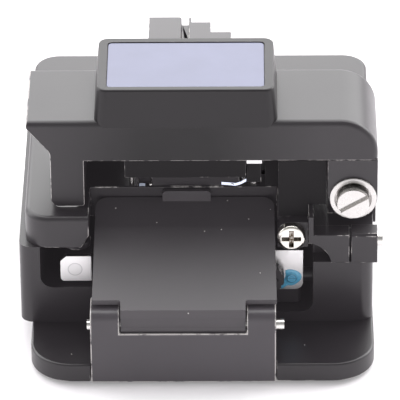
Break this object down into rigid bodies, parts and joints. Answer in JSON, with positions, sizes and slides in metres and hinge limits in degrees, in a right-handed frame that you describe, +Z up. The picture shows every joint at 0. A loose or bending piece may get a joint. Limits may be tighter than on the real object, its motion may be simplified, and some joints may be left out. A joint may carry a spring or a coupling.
{
  "type": "fibre cleaver",
  "caption": "Bench fibre cleaver: hinged clamp lid over a deck, sliding round blade, guard flap, offcut rollers and drawer.",
  "frame": {"origin": "middle of the footprint, at the height of the feet's undersides", "axes": "+Z up; the fibre lies along Y with +Y towards the offcut drawer; +X towards the lid hinge"},
  "size_m": [0.073, 0.0848, 0.0569],
  "materials": {
    "black_cast": "die-cast aluminium, satin black coat",
    "black_machined": "machined aluminium, black anodised",
    "bright_steel": "bright machined steel",
    "ground_steel": "ground steel plate",
    "blade_alloy": "hard alloy, ground rim",
    "black_rubber": "soft black rubber",
    "grey_pad": "hard grey clamp rubber",
    "label_gloss": "plain periwinkle gloss plate",
    "black_plastic": "black moulded plastic",
    "magnet": "nickel-plated magnet"
  },
  "bodies": {
    "chassis": {"base_plate": "black_machined", "rubber_feet": "black_rubber", "base_screws": "black_machined", "front_bracket": "black_machined", "flap_hinge_pin": "bright_steel", "main_housing": "black_cast", "deck": "black_cast", "rail_plate": "ground_steel", "guide_rods": "black_machined", "hinge_base": "black_cast", "side_block": "black_machined", "side_pin": "bright_steel", "screw_pad": "black_machined", "pad_screw": "bright_steel", "front_stage": "black_machined", "rear_stage": "black_machined", "front_lower_pad": "grey_pad", "rear_lower_pad": "grey_pad", "stage_pins": "bright_steel", "magnet_keeper": "bright_steel", "blade_guard": "black_plastic", "lid_hinge_pin": "bright_steel", "hinge_clip": "bright_steel", "collector_body": "black_plastic", "roller_cheeks": "black_machined"},
    "carriage": {"carriage_block": "black_machined", "carriage_plate": "ground_steel", "height_screw": "bright_steel", "blade_holder": "black_machined", "blade_axle": "bright_steel"},
    "blade": {"blade_disc": "blade_alloy"},
    "dial": {"height_dial": "black_machined"},
    "lid": {"lid_arm": "black_cast", "press_block": "black_cast", "label_plate": "label_gloss", "clamp_holder": "black_machined", "holder_screws": "bright_steel", "front_upper_pad": "grey_pad", "rear_upper_pad": "grey_pad", "lid_magnet_post": "black_machined", "lid_magnet": "magnet", "striker_plate": "ground_steel", "hinge_block": "black_cast", "hinge_bush": "bright_steel", "anvil_spring": "bright_steel"},
    "anvil": {"anvil": "bright_steel"},
    "flap": {"flap": "black_machined"},
    "feed": {"feed_roller": "black_rubber", "feed_axle": "black_plastic"},
    "pinch": {"pinch_roller": "bright_steel"},
    "drawer": {"scrap_drawer": "black_plastic"}
  },
  "joints": [
    {"name": "lid_hinge", "type": "hinge", "parent": "chassis", "child": "lid", "pos_m": [0.03055, -0.0124, 0.0319], "axis": [0, 1, 0], "range_deg": [0, 70]},
    {"name": "flap_hinge", "type": "hinge", "parent": "chassis", "child": "flap", "pos_m": [0, -0.0384, 0.01215], "axis": [1, 0, 0], "range_deg": [0, 20]},
    {"name": "carriage_slide", "type": "slide", "parent": "chassis", "child": "carriage", "axis": [-1, 0, 0], "range_m": [0, 0.017]},
    {"name": "blade_turn", "type": "hinge", "parent": "carriage", "child": "blade", "pos_m": [0.0116, -0.0084, 0.0283], "axis": [0, 1, 0], "continuous": true},
    {"name": "height_dial_turn", "type": "hinge", "parent": "carriage", "child": "dial", "pos_m": [0.0138, -0.0232, 0.015], "axis": [0, 1, 0], "range_deg": [-60, 60]},
    {"name": "anvil_give", "type": "slide", "parent": "lid", "child": "anvil", "axis": [0, 0, 1], "range_m": [0, 0.0008], "stiffness_N_per_m": 200, "springref_m": -0.0005, "deforming": ["anvil_spring"]},
    {"name": "feed_roller_turn", "type": "hinge", "parent": "chassis", "child": "feed", "pos_m": [-0.0036, 0.0201, 0.03352], "axis": [1, 0, 0], "continuous": true},
    {"name": "pinch_roller_turn", "type": "hinge", "parent": "chassis", "child": "pinch", "pos_m": [-0.0036, 0.0201, 0.03848], "axis": [1, 0, 0], "continuous": true},
    {"name": "drawer_slide", "type": "slide", "parent": "chassis", "child": "drawer", "axis": [0, 1, 0], "range_m": [0, 0.016]}
  ],
  "couplings": [
    {"joint": "pinch_roller_turn", "follows": "feed_roller_turn", "ratio": -1}
  ]
}
